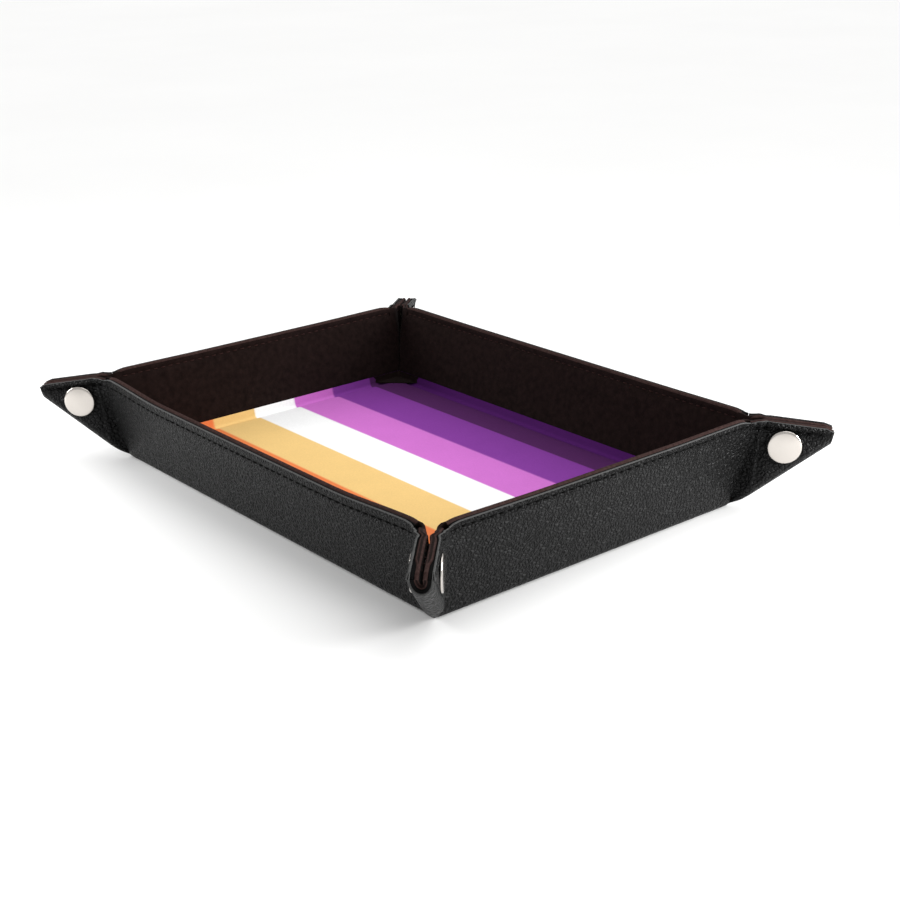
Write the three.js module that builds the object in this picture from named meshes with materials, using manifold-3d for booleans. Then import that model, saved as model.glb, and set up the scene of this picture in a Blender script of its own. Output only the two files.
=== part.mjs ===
// A folding dice tray: a flat padded sheet whose four walls fold up and whose four
// corner squares pinch into double-walled ears, each held shut by a press snap.
// Millimetres, +Z up. Origin: centre of the underside, on the table.

import * as THREE from 'three';
import { mergeVertices } from 'three/addons/utils/BufferGeometryUtils.js';
import Module from 'manifold-3d';

const wasm = await Module();
wasm.setup();

// ---------------------------------------------------------------- driving dimensions

const baseLength = 200; // along X, between the two end fold lines
const baseWidth = 141; // along Y, between the two side fold lines
const wallHeight = 36.2; // from fold line to rim, up the slanted wall
const wallLean = THREE.MathUtils.degToRad(12); // outwards from upright

const baseCornerRadius = 3;
const foldMargin = 5.5; // soft strip between the fold line and the base board
const gap = 0.3; // clearance between neighbouring solids
const planeGap = 0.2; // clearance of each side from a corner's middle plane

// Layers, as depth from the outer face: [outer, inner].
const baseLayers = { leather: [0, 0.8], board: [1.1, 2.9], liner: [3.2, 4.2] };
const wallLayers = { leather: [0, 0.8], board: [1.1, 2.1], liner: [2.4, 3.4] };
const earLayers = { leather: [0, 0.8], pad: [1.1, 2.0], liner: [2.3, 3.5] };

// How far up the slanted wall each layer starts, and how far below the rim it stops.
const wallFoot = { leather: 1.2, board: 4, liner: 3 };
const rimSetback = { leather: 0, board: 1.5, liner: 0 };
const boardEndSetback = 2;

// An ear, in its corner's middle plane: s runs outwards from the base corner, z runs up.
const foldRise = THREE.MathUtils.degToRad(36.5); // slope of the ear's lower edge
const earHalfWidth = 4.0; // middle plane to outer face where the ear is flat
const earReach = 46.4; // base corner to the clipped tip, along the lower edge
const tipClip = 6.2; // lower edge to the clipped tip's upper corner
const earRootReach = 8; // where the ear's lower edge starts, along the lower edge
const earRootHeight = 6; // where the ear's crease starts
const creaseBlend = 7; // width of the curved strip beside the crease
const creaseClearance = 0.1;

// A press snap, on an axis square to the ear. Heights run from the middle plane outwards.
const snapReach = 17.6;
const snapHeight = 25.2;
const capRadius = 6.25;
const capEdge = 0.5;
const capDome = 1.3;
const shankRadius = 1.5;
const flangeRadius = 4.6;
const flangeBack = 2.6;
const socketFace = 0.3;
const socketFloor = 1.9;
const socketRadius = 2.6;
const socketMouthRadius = 2.9;
const studFace = 0.5;
const studTip = -1.2;
const studRadius = 1.9;
const studWaistRadius = 1.5;

const roundSegments = 20;
const plateCornerSegments = 4;
const mergeTolerance = 1e-4;
const slabSize = 200; // cutter larger than any sheet that it trims

// ---------------------------------------------------------------- derived dimensions

const creaseSlope = Math.tan(wallLean) / Math.SQRT2; // crease's run outwards per unit of height
const rimHeight = wallHeight * Math.cos(wallLean);

// ---------------------------------------------------------------- materials

function material( color, roughness, metalness ) {

	return new THREE.MeshStandardMaterial( { color, roughness, metalness } );

}

const finishes = {
	leather: () => material( 0x26262a, 0.55, 0 ),
	board: () => material( 0x8b7355, 0.9, 0 ),
	pad: () => material( 0x161616, 0.95, 0 ),
	wallLiner: () => material( 0x33211f, 0.95, 0 ),
	print: () => material( 0xd58fd6, 0.8, 0 ),
	nickel: () => material( 0xd9d4cc, 0.25, 1 )
};

// ---------------------------------------------------------------- solids

// Strips a geometry to merged positions, with its faces turned outwards.
function closed( geometry ) {

	geometry.deleteAttribute( 'normal' );
	geometry.deleteAttribute( 'uv' );
	const merged = mergeVertices( geometry, mergeTolerance );
	const position = merged.attributes.position;
	const corner = [ 0, 1, 2 ].map( () => new THREE.Vector3() );
	let volume = 0;
	for ( let i = 0; i < merged.index.count; i += 3 ) {

		corner.forEach( ( point, k ) => point.fromBufferAttribute( position, merged.index.getX( i + k ) ) );
		volume += corner[ 0 ].dot( corner[ 1 ].clone().cross( corner[ 2 ] ) );

	}

	if ( volume < 0 ) {

		merged.index.array.reverse();

	}

	return merged;

}

function toManifold( geometry ) {

	const solid = closed( geometry );
	const vertProperties = Float32Array.from( solid.attributes.position.array );
	const triVerts = Uint32Array.from( solid.index.array );
	return new wasm.Manifold( new wasm.Mesh( { numProp: 3, vertProperties, triVerts } ) );

}

function toGeometry( solid ) {

	const mesh = solid.getMesh();
	const geometry = new THREE.BufferGeometry();
	geometry.setAttribute( 'position', new THREE.BufferAttribute( mesh.vertProperties, 3 ) );
	geometry.setIndex( new THREE.BufferAttribute( mesh.triVerts, 1 ) );
	return geometry;

}

function cut( geometry, cutters ) {

	const whole = toManifold( geometry );
	const solid = cutters.reduce( ( rest, cutter ) => rest.subtract( toManifold( cutter ) ), whole );
	return toGeometry( solid );

}

// A slab that fills everything beyond a corner's middle plane, as seen from one side.
function beyondPlane( azimuth, x, y, clearance ) {

	const slab = new THREE.BoxGeometry( slabSize, slabSize, slabSize );
	slab.translate( slabSize / 2 - clearance, 0, 0 );
	slab.rotateZ( azimuth );
	slab.translate( x, y, 0 );
	return slab;

}

function part( name, geometry, finish ) {

	const mesh = new THREE.Mesh( geometry, finish() );
	mesh.name = name;
	return mesh;

}

// ---------------------------------------------------------------- base

function roundedPlate( length, width, radius, [ bottom, top ] ) {

	const x = length / 2;
	const y = width / 2;
	const outline = new THREE.Shape();
	outline.moveTo( - x + radius, - y );
	outline.lineTo( x - radius, - y );
	outline.absarc( x - radius, - y + radius, radius, - Math.PI / 2, 0 );
	outline.lineTo( x, y - radius );
	outline.absarc( x - radius, y - radius, radius, 0, Math.PI / 2 );
	outline.lineTo( - x + radius, y );
	outline.absarc( - x + radius, y - radius, radius, Math.PI / 2, Math.PI );
	outline.lineTo( - x, - y + radius );
	outline.absarc( - x + radius, - y + radius, radius, Math.PI, 3 * Math.PI / 2 );
	const plate = new THREE.ExtrudeGeometry( outline, {
		depth: top - bottom,
		bevelEnabled: false,
		curveSegments: plateCornerSegments
	} );
	plate.translate( 0, 0, bottom );
	return closed( plate );

}

function buildBase() {

	const base = new THREE.Group();
	const innerLength = baseLength - 2 * foldMargin;
	const innerWidth = baseWidth - 2 * foldMargin;
	const innerRadius = baseCornerRadius / 2;
	base.add( part(
		'base_leather',
		roundedPlate( baseLength, baseWidth, baseCornerRadius, baseLayers.leather ),
		finishes.leather
	) );
	base.add( part(
		'base_board',
		roundedPlate( innerLength, innerWidth, innerRadius, baseLayers.board ),
		finishes.board
	) );
	base.add( part(
		'base_printed_liner',
		roundedPlate( innerLength, innerWidth, innerRadius, baseLayers.liner ),
		finishes.print
	) );
	return base;

}

// ---------------------------------------------------------------- walls

// One flat layer of a wall. The wall's own frame has its fold line along X through the
// origin, its outer face towards -Y, and its lean already applied.
function wallLayer( length, layer ) {

	const [ outer, inner ] = wallLayers[ layer ];
	const endSetback = layer === 'board' ? boardEndSetback : gap;
	const foot = wallFoot[ layer ];
	const height = wallHeight - rimSetback[ layer ] - foot;
	const panel = new THREE.BoxGeometry( length - 2 * endSetback, inner - outer, height );
	panel.translate( 0, ( outer + inner ) / 2, foot + height / 2 );
	panel.rotateX( wallLean );
	return cut( panel, [
		beyondPlane( Math.PI / 4, length / 2, 0, planeGap ),
		beyondPlane( 3 * Math.PI / 4, - length / 2, 0, planeGap )
	] );

}

function buildWall( name, turn, length, distance ) {

	const wall = new THREE.Group();
	wall.rotation.z = turn;
	wall.position.set( distance * Math.sin( turn ), - distance * Math.cos( turn ), 0 );
	wall.add( part( `${ name }_leather`, wallLayer( length, 'leather' ), finishes.leather ) );
	wall.add( part( `${ name }_board`, wallLayer( length, 'board' ), finishes.board ) );
	wall.add( part( `${ name }_liner`, wallLayer( length, 'liner' ), finishes.wallLiner ) );
	return wall;

}

// ---------------------------------------------------------------- ears

// A point of the ear's middle plane, from distances along and square to its lower edge.
function alongFold( along, across ) {

	return new THREE.Vector2(
		along * Math.cos( foldRise ) - across * Math.sin( foldRise ),
		along * Math.sin( foldRise ) + across * Math.cos( foldRise )
	);

}

function onCrease( height ) {

	return new THREE.Vector2( height * creaseSlope + creaseClearance, height );

}

// The leaf's corners: crease foot, crease top, tip's upper corner, tip, lower edge's start.
const creaseFoot = onCrease( earRootHeight );
const creaseTop = onCrease( rimHeight );
const tipUpper = alongFold( earReach, tipClip );
const tipLower = alongFold( earReach, earHalfWidth );
const foldStart = alongFold( earRootReach, earHalfWidth );

const leafColumns = 6;
const leafRows = 2;
const tipShare = 0.9; // share of the leaf's columns before the clipped tip
const columnBias = 1.5; // above 1, columns gather beside the crease

// Place on the middle plane for a share across the leaf and a share from bottom to top.
function leafPlace( across, up ) {

	const bottom = creaseFoot.clone().lerp( foldStart, across );
	const top = across < tipShare
		? creaseTop.clone().lerp( tipUpper, across / tipShare )
		: tipUpper.clone().lerp( tipLower, ( across - tipShare ) / ( 1 - tipShare ) );
	return bottom.lerp( top, up );

}

// Distance of the leaf's outer face from the middle plane: the wall's own slope at the
// crease, easing over a narrow strip to the ear's flat half width.
function leafOffset( place ) {

	const atCrease = place.y * creaseSlope;
	const slope = Math.atan( creaseSlope );
	const distance = ( place.x - atCrease ) * Math.cos( slope );
	const ease = THREE.MathUtils.smoothstep( distance, 0, creaseBlend );
	return THREE.MathUtils.lerp( atCrease, earHalfWidth, ease );

}

// Columns are closer together beside the crease, and one falls on the tip's upper corner.
function columnShare( step ) {

	const column = Math.round( step * leafColumns );
	const last = leafColumns - 1;
	return column > last ? 1 : tipShare * ( column / last ) ** columnBias;

}

// One layer of a leaf in its corner's frame: X outwards along the middle plane, Z up, and
// the leaf on the side of +Y or -Y.
function leafLayer( layer, side, holeRadius ) {

	const [ outer, inner ] = earLayers[ layer ];
	const sheet = new THREE.BoxGeometry( 1, 1, 1, leafColumns, 1, leafRows );
	sheet.translate( 0.5, 0.5, 0.5 );
	const position = sheet.attributes.position;
	for ( let i = 0; i < position.count; i ++ ) {

		const place = leafPlace( columnShare( position.getX( i ) ), position.getZ( i ) );
		const depth = THREE.MathUtils.lerp( outer, inner, position.getY( i ) );
		position.setXYZ( i, place.x, side * ( leafOffset( place ) - depth ), place.y );

	}

	const hole = new THREE.CylinderGeometry( holeRadius, holeRadius, 4 * earHalfWidth, roundSegments );
	hole.translate( snapReach, 0, snapHeight );
	const otherSide = beyondPlane( - side * Math.PI / 2, 0, 0, planeGap );
	return cut( sheet, [ otherSide, hole ] );

}

// ---------------------------------------------------------------- press snaps

// Profiles are radius and height above the middle plane, on the snap's own side.
const capFace = earHalfWidth + gap;
const shankEnd = flangeBack + gap;
const domeSteps = 4;

function capProfile() {

	const points = [ new THREE.Vector2( 0, shankEnd ) ];
	points.push( new THREE.Vector2( shankRadius, shankEnd ) );
	points.push( new THREE.Vector2( shankRadius, capFace ) );
	points.push( new THREE.Vector2( capRadius, capFace ) );
	for ( let step = 0; step <= domeSteps; step ++ ) {

		const angle = step / domeSteps * Math.PI / 2;
		const radius = step === domeSteps ? 0 : capRadius * Math.cos( angle );
		points.push( new THREE.Vector2( radius, capFace + capEdge + ( capDome - capEdge ) * Math.sin( angle ) ) );

	}

	return points;

}

function socketProfile() {

	return [
		new THREE.Vector2( 0, socketFloor ),
		new THREE.Vector2( socketRadius, socketFloor ),
		new THREE.Vector2( socketMouthRadius, socketFace ),
		new THREE.Vector2( flangeRadius, socketFace ),
		new THREE.Vector2( flangeRadius, flangeBack ),
		new THREE.Vector2( 0, flangeBack )
	];

}

function studProfile() {

	const neck = ( studFace + studTip ) / 2;
	return [
		new THREE.Vector2( 0, studTip ),
		new THREE.Vector2( studWaistRadius, studTip ),
		new THREE.Vector2( studRadius, neck ),
		new THREE.Vector2( studWaistRadius, studFace ),
		new THREE.Vector2( flangeRadius, studFace ),
		new THREE.Vector2( flangeRadius, flangeBack ),
		new THREE.Vector2( 0, flangeBack )
	];

}

function turned( name, profile, side ) {

	const mesh = part( name, closed( new THREE.LatheGeometry( profile, roundSegments ) ), finishes.nickel );
	mesh.position.set( snapReach, 0, snapHeight );
	mesh.rotation.x = side > 0 ? 0 : Math.PI;
	return mesh;

}

// ---------------------------------------------------------------- corners

const holeRadii = { leather: shankRadius + gap, pad: flangeRadius + gap, liner: flangeRadius + gap };
const earFinishes = { leather: finishes.leather, pad: finishes.pad, liner: finishes.wallLiner };

// A corner holds two leaves, one from each wall that meets there. The leaf on +Y belongs
// to the wall that comes next anticlockwise, and its inner face carries the snap's stud.
function buildCorner( corner, turn, nextLeaf, lastLeaf ) {

	const group = new THREE.Group();
	const sides = [ [ nextLeaf, 1 ], [ lastLeaf, - 1 ] ];
	for ( const [ leaf, side ] of sides ) {

		for ( const layer of Object.keys( earLayers ) ) {

			const sheet = leafLayer( layer, side, holeRadii[ layer ] );
			group.add( part( `${ leaf }_${ layer }`, sheet, earFinishes[ layer ] ) );

		}

	}

	group.add( turned( `${ corner }_stud_cap`, capProfile(), 1 ) );
	group.add( turned( `${ corner }_snap_stud`, studProfile(), 1 ) );
	group.add( turned( `${ corner }_socket_cap`, capProfile(), - 1 ) );
	group.add( turned( `${ corner }_snap_socket`, socketProfile(), - 1 ) );
	group.rotation.z = turn;
	return group;

}

// ---------------------------------------------------------------- assembly

const tray = new THREE.Group();
tray.add( buildBase() );

// Walls, anticlockwise from the front: name, turn about Z, length, distance from centre.
const walls = [
	[ 'front_wall', 0, baseLength, baseWidth / 2 ],
	[ 'right_wall', Math.PI / 2, baseWidth, baseLength / 2 ],
	[ 'back_wall', Math.PI, baseLength, baseWidth / 2 ],
	[ 'left_wall', 3 * Math.PI / 2, baseWidth, baseLength / 2 ]
];

for ( const [ name, turn, length, distance ] of walls ) {

	tray.add( buildWall( name, turn, length, distance ) );

}

// Corners: name, turn about Z, the two leaves, and the signs of the base corner's X and Y.
const corners = [
	[ 'front_right', - Math.PI / 4, 'right_wall_front_ear', 'front_wall_right_ear', 1, - 1 ],
	[ 'back_right', Math.PI / 4, 'back_wall_right_ear', 'right_wall_back_ear', 1, 1 ],
	[ 'back_left', 3 * Math.PI / 4, 'left_wall_back_ear', 'back_wall_left_ear', - 1, 1 ],
	[ 'front_left', 5 * Math.PI / 4, 'front_wall_left_ear', 'left_wall_front_ear', - 1, - 1 ]
];

for ( const [ name, turn, nextLeaf, lastLeaf, signX, signY ] of corners ) {

	const corner = buildCorner( name, turn, nextLeaf, lastLeaf );
	corner.position.set( signX * baseLength / 2, signY * baseWidth / 2, 0 );
	tray.add( corner );

}

export default tray;
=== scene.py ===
# %% [markdown]
# # A folding dice tray
# The tray is one flat sheet of stacked layers: pebbled leather outside, stiff board and
# foam in the middle, brushed cloth inside. Four walls fold up, each corner square pinches
# into an ear of two leaves, and a press snap holds each ear shut.
#
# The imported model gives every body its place. This lesson builds the looks on top of it:
# thin closed shells for the layers, real stitches, turned snaps, and procedural finishes.

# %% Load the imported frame
import math

import bmesh
import bpy
import numpy as np
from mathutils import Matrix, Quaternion, Vector


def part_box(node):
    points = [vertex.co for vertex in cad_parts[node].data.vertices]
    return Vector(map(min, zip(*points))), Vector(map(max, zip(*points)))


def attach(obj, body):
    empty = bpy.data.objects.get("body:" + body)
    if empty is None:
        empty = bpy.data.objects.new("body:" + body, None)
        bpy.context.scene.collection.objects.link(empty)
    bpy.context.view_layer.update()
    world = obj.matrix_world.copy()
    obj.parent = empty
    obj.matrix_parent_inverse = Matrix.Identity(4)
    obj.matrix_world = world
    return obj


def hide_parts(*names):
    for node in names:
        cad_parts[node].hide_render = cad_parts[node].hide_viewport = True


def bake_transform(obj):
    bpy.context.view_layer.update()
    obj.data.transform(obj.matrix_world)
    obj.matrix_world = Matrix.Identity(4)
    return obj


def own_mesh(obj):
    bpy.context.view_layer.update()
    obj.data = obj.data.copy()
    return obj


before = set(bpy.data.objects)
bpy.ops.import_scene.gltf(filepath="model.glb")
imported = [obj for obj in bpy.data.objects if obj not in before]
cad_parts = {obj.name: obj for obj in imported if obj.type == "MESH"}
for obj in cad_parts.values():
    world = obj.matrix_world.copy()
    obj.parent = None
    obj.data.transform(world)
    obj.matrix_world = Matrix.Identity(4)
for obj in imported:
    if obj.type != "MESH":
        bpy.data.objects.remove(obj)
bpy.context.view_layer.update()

# %% [markdown]
# ## The tray's own measures
# Everything below is worked out in millimetres and turned into metres only when a mesh is
# made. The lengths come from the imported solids, so the shells land where the solids are.
# A wall is described by the way it faces, the way it runs, half its length, how far below
# the rim it is stitched, and how far it bows out and slumps between its corners.

# %% Measures and walls
MM = 0.001
LEAN = math.radians(12)
SIN, COS = math.sin(LEAN), math.cos(LEAN)
half_length, half_width = (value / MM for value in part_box("base_leather")[1].xy)
rim_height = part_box("front_wall_leather")[1].z / MM
wall_height = rim_height / COS
LEATHER = 0.8
LINING_FACE = 3.4
EDGE_RADIUS = 3.0
TANGENT = EDGE_RADIUS * math.tan((math.pi / 2 - LEAN) / 2)
ARC = EDGE_RADIUS * (math.pi / 2 - LEAN)
GIRTH = ARC + wall_height - TANGENT


class Wall:
    def __init__(self, name, outward, distance, half, inset, bow=0.3, slump=0.3):
        self.name = name
        self.outward = np.array([*outward, 0.0])
        self.along = np.array([-outward[1], outward[0], 0.0])
        self.inward = np.array([-outward[0] * COS, -outward[1] * COS, SIN])
        self.distance = distance
        self.half = half
        self.inset = inset
        self.bow = bow
        self.slump = slump
        self.hinge = self.outward * distance


UP = np.array([0.0, 0.0, 1.0])
LONG_INSET = 3.9
SHORT_INSET = 2.4
WALLS = [
    Wall("front_wall", (0, -1), half_width, half_length, LONG_INSET, bow=1.3, slump=1.2),
    Wall("right_wall", (1, 0), half_length, half_width, SHORT_INSET),
    Wall("back_wall", (0, 1), half_width, half_length, LONG_INSET),
    Wall("left_wall", (-1, 0), half_length, half_width, SHORT_INSET),
]
print("base", 2 * half_length, "by", 2 * half_width, "mm, rim at", round(rim_height, 2))

# %% [markdown]
# ## Corners and ears
# Each corner has an upright middle plane on the base's diagonal. An ear leaf is described
# by three distances: `s` outwards along the diagonal, `q` away from the middle plane, and
# `z` up. Side +1 is the leaf of the wall that comes next anticlockwise, and side -1 is the
# leaf of the wall before it. Hand-made ears are never quite alike, so `stretch` makes one a
# little longer or shorter beyond its crease, a line that comes with the ear surface below.

# %% Corners
RISE = math.radians(36.5)
EAR_HALF = 4.0
EAR_REACH = 46.4
TIP_CLIP = 6.2


class Corner:
    def __init__(self, name, sign, next_side, last_side, stretch=1.0):
        self.name = name
        self.stretch = stretch
        self.origin = np.array([sign[0] * half_length, sign[1] * half_width, 0.0])
        self.diagonal = np.array([*sign, 0.0]) / math.sqrt(2)
        self.across = np.cross(UP, self.diagonal)
        self.leaves = [
            (1, f"{next_side}_wall_{last_side}_ear", f"{next_side}_wall", "stud"),
            (-1, f"{last_side}_wall_{next_side}_ear", f"{last_side}_wall", "socket"),
        ]

    def place(self, side, s, q, z):
        s, q, z = np.broadcast_arrays(s, q, z)
        s = s + np.maximum(s - crease(z)[0], 0.0) * (self.stretch - 1)
        level = self.origin + s[..., None] * self.diagonal + side * q[..., None] * self.across
        return level + z[..., None] * UP


CORNERS = [
    Corner("front_right", (1, -1), "right", "front"),
    Corner("back_right", (1, 1), "back", "right", stretch=1.015),
    Corner("back_left", (-1, 1), "left", "back"),
    Corner("front_left", (-1, -1), "front", "left", stretch=0.93),
]
for corner in CORNERS:
    print(corner.name, "ears", [leaf for _, leaf, _, _ in corner.leaves])

# %% [markdown]
# ## Finishes
# Each finish is a small tree of nodes. Patterns are placed by object coordinates, which
# stay with a piece as it folds, and their scales count features in a metre. The helpers
# below add a node or two each and wire or set their inputs, so that a finish reads as a
# short list.


# %% Node helpers
def start_finish(name):
    finish = bpy.data.materials.new(name)
    finish.use_nodes = True
    return finish, finish.node_tree.nodes["Principled BSDF"]


def add(finish, kind, inputs=(), **settings):
    made = finish.node_tree.nodes.new(kind)
    for key, value in settings.items():
        setattr(made, key, value)
    for socket, value in dict(inputs).items():
        wire(finish, value, made.inputs[socket])
    return made


def wire(finish, value, socket):
    if isinstance(value, bpy.types.NodeSocket):
        finish.node_tree.links.new(value, socket)
    else:
        socket.default_value = value


def grey(value):
    return (value, value, value)


def noise(finish, scale, detail=3.0, roughness=0.55):
    coords = add(finish, "ShaderNodeTexCoord").outputs["Object"]
    inputs = {"Vector": coords, "Scale": scale, "Detail": detail, "Roughness": roughness}
    return add(finish, "ShaderNodeTexNoise", inputs).outputs["Fac"]


def ramp(finish, value, stops, interpolation="LINEAR"):
    made = add(finish, "ShaderNodeValToRGB", {"Fac": value})
    made.color_ramp.interpolation = interpolation
    elements = made.color_ramp.elements
    while len(elements) < len(stops):
        elements.new(0.5)
    for element, (position, color) in zip(elements, stops):
        element.position = position
        element.color = (*color, 1.0)
    return made.outputs["Color"]


def bump(finish, height, strength, distance):
    inputs = {"Height": height, "Strength": strength, "Distance": distance}
    return add(finish, "ShaderNodeBump", inputs).outputs["Normal"]


def math_node(finish, operation, a, b):
    return add(finish, "ShaderNodeMath", {0: a, 1: b}, operation=operation).outputs["Value"]


def mix(finish, factor, a, b, **settings):
    inputs = {"Factor": factor, "A": a, "B": b}
    return add(finish, "ShaderNodeMix", inputs, data_type="RGBA", **settings).outputs[2]


print("finish helpers ready")

# %% [markdown]
# ### Pebbled leather
# The outside is black leather with a fine pebble grain, about a millimetre and a half from
# crease to crease. Noise alone would look like stone, so a Voronoi distance-to-edge pattern
# makes rounded pebbles with sunken creases, and a little noise bends its straight sides.
# Slower noises vary the colour and the gloss. The creases are also painted darker in
# colour, as painted shade.


# %% Leather
PEBBLE_SCALE = 660.0
PEBBLE_WOBBLE = 0.0006
PEBBLE_DEPTH = 0.00055
BLACK_LOW = (0.0044, 0.0044, 0.0046)
BLACK_HIGH = (0.0115, 0.0115, 0.0119)
# Painted shade: the colour in the creases between pebbles is darkened to stand in for their shading.
PAINTED_CREASE_SHADE = (0.0006, 0.0006, 0.0006, 1)


def pebble_cells(finish):
    coords = add(finish, "ShaderNodeTexCoord").outputs["Object"]
    wobble = add(finish, "ShaderNodeTexNoise", {"Vector": coords, "Scale": 900.0, "Detail": 2.0})
    small = {0: wobble.outputs["Color"], "Scale": PEBBLE_WOBBLE}
    shift = add(finish, "ShaderNodeVectorMath", small, operation="SCALE")
    moved = add(finish, "ShaderNodeVectorMath", {0: coords, 1: shift.outputs[0]}, operation="ADD")
    inputs = {"Vector": moved.outputs[0], "Scale": PEBBLE_SCALE}
    cells = add(finish, "ShaderNodeTexVoronoi", inputs, feature="DISTANCE_TO_EDGE")
    return cells.outputs["Distance"]


def make_leather():
    finish, shader = start_finish("pebbled_black_leather")
    dome = [(0.0, grey(0.0)), (0.12, grey(0.5)), (0.36, grey(1.0))]
    pebbles = ramp(finish, pebble_cells(finish), dome)
    fine = math_node(finish, "MULTIPLY", noise(finish, 2600.0), 0.2)
    grain = math_node(finish, "ADD", pebbles, fine)
    tone = ramp(finish, noise(finish, 240.0, 4.0), [(0.32, BLACK_LOW), (0.7, BLACK_HIGH)])
    gloss = ramp(finish, noise(finish, 500.0), [(0.3, grey(0.34)), (0.75, grey(0.50))])
    # The pebble pattern mixes in the painted crease shade, darkest in the creases.
    wire(finish, mix(finish, pebbles, PAINTED_CREASE_SHADE, tone), shader.inputs["Base Color"])
    wire(finish, gloss, shader.inputs["Roughness"])
    wire(finish, bump(finish, grain, 1.0, PEBBLE_DEPTH), shader.inputs["Normal"])
    shader.inputs["Specular IOR Level"].default_value = 0.13
    return finish


leather = make_leather()
print("made", leather.name)


# %% [markdown]
# ### Cut leather edge and painted highlight
# Where the leather is cut at the rim its edge shows dull grey, because the black coat is
# only on the face, and this grey is made a little paler as a painted highlight for the light
# that the rounded rim catches. It gets a finish of its own, with the fine specks of cut fibre.


# %% Cut edge and painted highlight
# Painted highlight: these greys are partly the cut edge's own colour and partly the light the rounded
# rim catches.
CUT_EDGE_HIGHLIGHT_LOW = (0.024, 0.024, 0.024)
CUT_EDGE_HIGHLIGHT_HIGH = (0.062, 0.062, 0.060)


def make_cut_edge_and_highlight():
    finish, shader = start_finish("cut_leather_edge")
    tone = ramp(finish, noise(finish, 1400.0, 4.0), [(0.3, CUT_EDGE_HIGHLIGHT_LOW), (0.7, CUT_EDGE_HIGHLIGHT_HIGH)])
    wire(finish, tone, shader.inputs["Base Color"])
    wire(finish, bump(finish, noise(finish, 4000.0), 0.4, 0.0001), shader.inputs["Normal"])
    shader.inputs["Roughness"].default_value = 0.7
    return finish


cut_edge_and_highlight = make_cut_edge_and_highlight()
print("made", cut_edge_and_highlight.name)

# %% [markdown]
# ### Brushed linings
# The walls are lined with very dark brown suede and the floor with the same brushed cloth,
# printed in broad stripes. A suede finish is rough, scatters light at grazing angles, and
# has a soft cloudy nap. Suede, its paler rim edge and the printed cloth share one helper
# and differ in their colour. The paler rim edge is a painted highlight: a lit copy of the
# suede for the light that the rim catches.


# %% Suede
BROWN_LOW = (0.0068, 0.0036, 0.0031)
BROWN_HIGH = (0.0160, 0.0090, 0.0078)
# Painted highlight: a paler, lit brown for the suede's rim edge, where the rim catches light.
SUEDE_HIGHLIGHT_LOW = (0.028, 0.015, 0.0135)
SUEDE_HIGHLIGHT_HIGH = (0.056, 0.033, 0.030)


def make_nap(name, color_source, sheen):
    finish, shader = start_finish(name)
    nap = noise(finish, 1500.0, 5.0, 0.7)
    cloud = noise(finish, 70.0, 3.0)
    shade = ramp(finish, cloud, [(0.3, grey(0.96)), (0.7, grey(1.0))])
    speck = ramp(finish, nap, [(0.3, grey(0.90)), (0.7, grey(1.0))])
    both = mix(finish, 1.0, shade, speck, blend_type="MULTIPLY")
    tint = mix(finish, 1.0, both, color_source(finish), blend_type="MULTIPLY")
    wire(finish, tint, shader.inputs["Base Color"])
    wire(finish, bump(finish, nap, 0.5, 0.00025), shader.inputs["Normal"])
    shader.inputs["Roughness"].default_value = 0.95
    shader.inputs["Specular IOR Level"].default_value = 0.05
    shader.inputs["Sheen Weight"].default_value = sheen
    shader.inputs["Sheen Roughness"].default_value = 0.5
    return finish


def brown(finish):
    return ramp(finish, noise(finish, 420.0, 4.0), [(0.3, BROWN_LOW), (0.75, BROWN_HIGH)])


def lit_suede_brown(finish):
    return ramp(finish, noise(finish, 900.0, 4.0), [(0.3, SUEDE_HIGHLIGHT_LOW), (0.75, SUEDE_HIGHLIGHT_HIGH)])


suede = make_nap("dark_brown_suede", brown, 0.018)
# The rim edge's finish is the suede painted paler as a highlight.
suede_edge_highlight = make_nap("suede_edge_painted_highlight", lit_suede_brown, 0.0)
print("made", suede.name, "and", suede_edge_highlight.name)

# %% [markdown]
# ### Printed stripes
# The stripes run from side to side. An image could hold them, but one colour ramp from
# front to back does too, and it stays crisp at any size. Each stripe is two stops of one
# colour, with half a millimetre of blur between neighbours. Past the last seam the cloth is
# a brighter violet.


# %% Printed cloth
STRIPE = 20.6
STRIPE_COLORS = [
    (0.55, 0.13, 0.040),  # burnt orange
    (0.83, 0.225, 0.075),  # orange
    (0.84, 0.57, 0.225),  # sand
    (0.97, 0.97, 0.97),  # white
    (0.60, 0.170, 0.585),  # pink
    (0.225, 0.047, 0.320),  # purple
    (0.085, 0.021, 0.105),  # plum
]
LAST_VIOLET = (0.085, 0.015, 0.135)
PRINT_SEAM = 64.6
BLUR = 0.25


def stripes(finish):
    coords = add(finish, "ShaderNodeTexCoord").outputs["Object"]
    y = add(finish, "ShaderNodeSeparateXYZ", {"Vector": coords}).outputs["Y"]
    span = STRIPE * len(STRIPE_COLORS) * MM
    share = math_node(finish, "ADD", math_node(finish, "DIVIDE", y, span), 0.5)
    blur = BLUR * MM / span
    stops = []
    for count, color in enumerate(STRIPE_COLORS):
        low, high = count / len(STRIPE_COLORS), (count + 1) / len(STRIPE_COLORS)
        stops += [(low + blur, color), (high - blur, color)]
    seam = PRINT_SEAM * MM / span + 0.5
    stops[-1] = (seam - blur, STRIPE_COLORS[-1])
    stops.append((seam + blur, LAST_VIOLET))
    return ramp(finish, share, stops)


printed_cloth = make_nap("striped_printed_cloth", stripes, 0.0)
print("made", printed_cloth.name)

# %% [markdown]
# ### Board, foam, thread and plate
# The hidden core needs plain finishes with some fibre in them, and so does thread, which is
# black outside and brown inside. One helper makes all four, from a low and a high colour, a
# scale, a roughness and a strength of bump. The snaps are polished nickel, with faint
# smears in its roughness and a slow change in its colour.


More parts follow.
